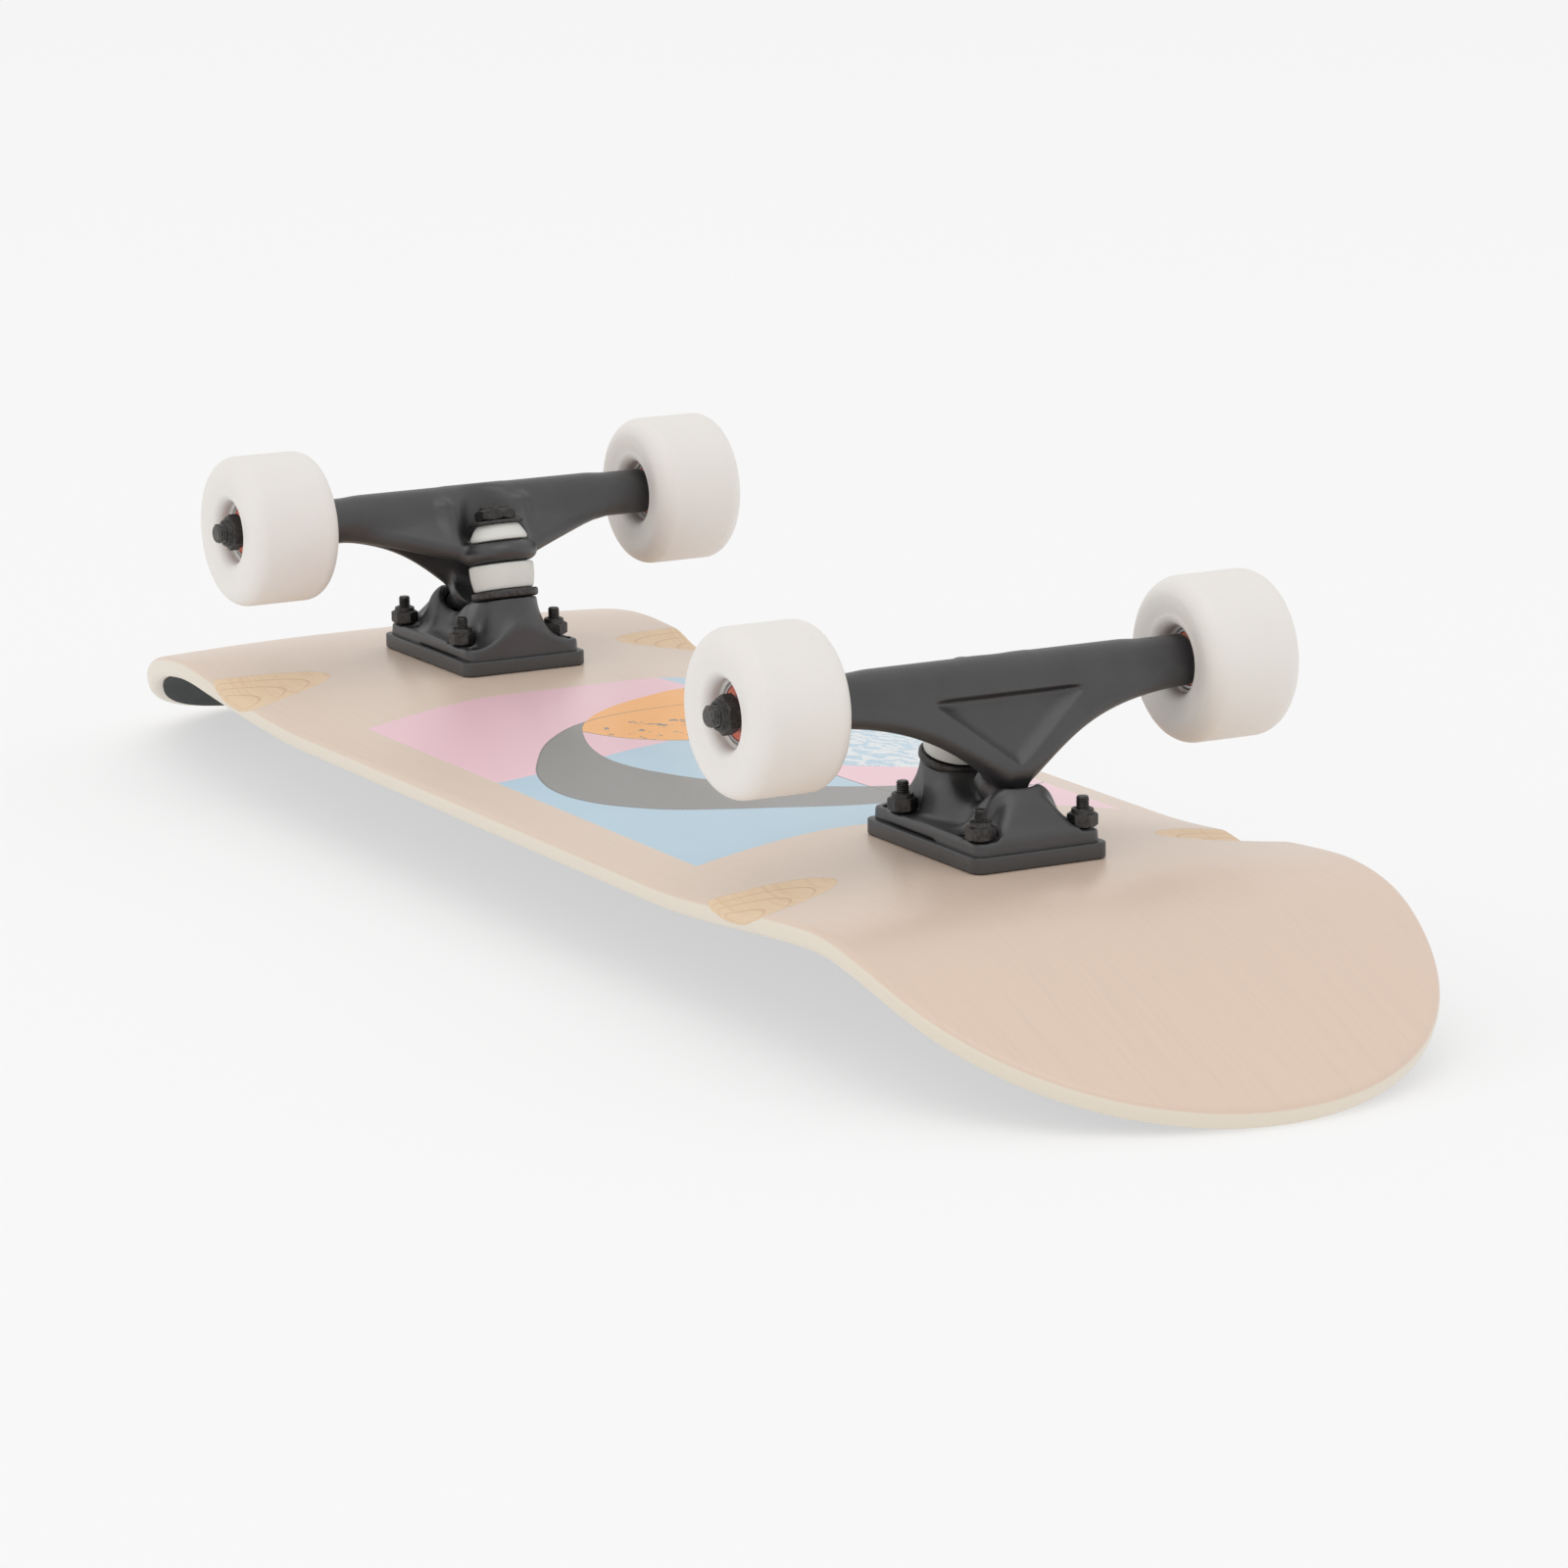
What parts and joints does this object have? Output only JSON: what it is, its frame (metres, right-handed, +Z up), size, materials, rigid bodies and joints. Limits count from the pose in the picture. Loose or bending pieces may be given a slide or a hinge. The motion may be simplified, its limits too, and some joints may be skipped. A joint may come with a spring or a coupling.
{
  "type": "skateboard",
  "caption": "Street skateboard turned over on its tips: kicked wooden deck, sprung cast trucks, free-turning wheels on bearings, risers and grip tape.",
  "frame": {"origin": "on the floor under the middle of the board's length and width, as it stands upside down on its nose and tail tips", "axes": "+X along the deck from nose to tail, +Y across the deck, +Z up, from the deck to the wheels"},
  "size_m": [0.8109, 0.2284, 0.1445],
  "materials": {
    "deck": "beige-pink lacquer over maple plies, printed colour blocks, bare wood in the wheel wells",
    "grip": "dark grey abrasive grit",
    "riser": "satin moulded",
    "truck": "satin black paint on cast metal",
    "cup": "moulded",
    "kingpin": "black oxide",
    "washer": "dark gunmetal",
    "bushing": "off-white cast urethane",
    "bolt": "black oxide",
    "axle": "bright steel",
    "axle_nut": "zinc plated",
    "wheel": "warm off-white urethane",
    "bearing": "coral red shield in a steel ring"
  },
  "bodies": {
    "deck": {"deck": "deck", "grip_tape": "grip", "front_baseplate": "truck", "front_deck_bolt_1": "bolt", "front_deck_bolt_2": "bolt", "front_deck_bolt_3": "bolt", "front_deck_bolt_4": "bolt", "front_kingpin": "kingpin", "front_kingpin_nut": "kingpin", "front_lock_nut_1": "bolt", "front_lock_nut_2": "bolt", "front_lock_nut_3": "bolt", "front_lock_nut_4": "bolt", "front_lower_bushing": "bushing", "front_lower_washer": "washer", "front_pivot_cup": "cup", "front_riser_pad": "riser", "front_upper_bushing": "bushing", "front_upper_washer": "washer", "rear_baseplate": "truck", "rear_deck_bolt_1": "bolt", "rear_deck_bolt_2": "bolt", "rear_deck_bolt_3": "bolt", "rear_deck_bolt_4": "bolt", "rear_kingpin": "kingpin", "rear_kingpin_nut": "kingpin", "rear_lock_nut_1": "bolt", "rear_lock_nut_2": "bolt", "rear_lock_nut_3": "bolt", "rear_lock_nut_4": "bolt", "rear_lower_bushing": "bushing", "rear_lower_washer": "washer", "rear_pivot_cup": "cup", "rear_riser_pad": "riser", "rear_upper_bushing": "bushing", "rear_upper_washer": "washer"},
    "front_hanger_body": {"front_axle": "axle", "front_hanger": "truck", "front_left_axle_nut": "axle_nut", "front_left_bearing_spacer": "axle", "front_right_axle_nut": "axle_nut", "front_right_bearing_spacer": "axle"},
    "front_left_wheel_body": {"front_left_inner_bearing": "bearing", "front_left_outer_bearing": "bearing", "front_left_wheel": "wheel"},
    "front_right_wheel_body": {"front_right_inner_bearing": "bearing", "front_right_outer_bearing": "bearing", "front_right_wheel": "wheel"},
    "rear_hanger_body": {"rear_axle": "axle", "rear_hanger": "truck", "rear_left_axle_nut": "axle_nut", "rear_left_bearing_spacer": "axle", "rear_right_axle_nut": "axle_nut", "rear_right_bearing_spacer": "axle"},
    "rear_left_wheel_body": {"rear_left_inner_bearing": "bearing", "rear_left_outer_bearing": "bearing", "rear_left_wheel": "wheel"},
    "rear_right_wheel_body": {"rear_right_inner_bearing": "bearing", "rear_right_outer_bearing": "bearing", "rear_right_wheel": "wheel"}
  },
  "joints": [
    {"name": "front_steer", "type": "hinge", "parent": "deck", "child": "front_hanger_body", "pos_m": [-0.18047, 0, 0.09981], "axis": [-0.7986, 0, -0.6018], "range_deg": [-12, 12], "stiffness_Nm_per_rad": 40, "deforming": ["front_lower_bushing", "front_upper_bushing"]},
    {"name": "front_left_wheel_spin", "type": "hinge", "parent": "front_hanger_body", "child": "front_left_wheel_body", "pos_m": [-0.20385, -0.09075, 0.11468], "axis": [0, 1, 0], "continuous": true},
    {"name": "front_right_wheel_spin", "type": "hinge", "parent": "front_hanger_body", "child": "front_right_wheel_body", "pos_m": [-0.20385, 0.09075, 0.11468], "axis": [0, 1, 0], "continuous": true},
    {"name": "rear_steer", "type": "hinge", "parent": "deck", "child": "rear_hanger_body", "pos_m": [0.18877, 0, 0.09981], "axis": [0.7986, 0, -0.6018], "range_deg": [-12, 12], "stiffness_Nm_per_rad": 40, "deforming": ["rear_lower_bushing", "rear_upper_bushing"]},
    {"name": "rear_left_wheel_spin", "type": "hinge", "parent": "rear_hanger_body", "child": "rear_left_wheel_body", "pos_m": [0.21215, -0.09075, 0.11468], "axis": [0, 1, 0], "continuous": true},
    {"name": "rear_right_wheel_spin", "type": "hinge", "parent": "rear_hanger_body", "child": "rear_right_wheel_body", "pos_m": [0.21215, 0.09075, 0.11468], "axis": [0, 1, 0], "continuous": true}
  ]
}
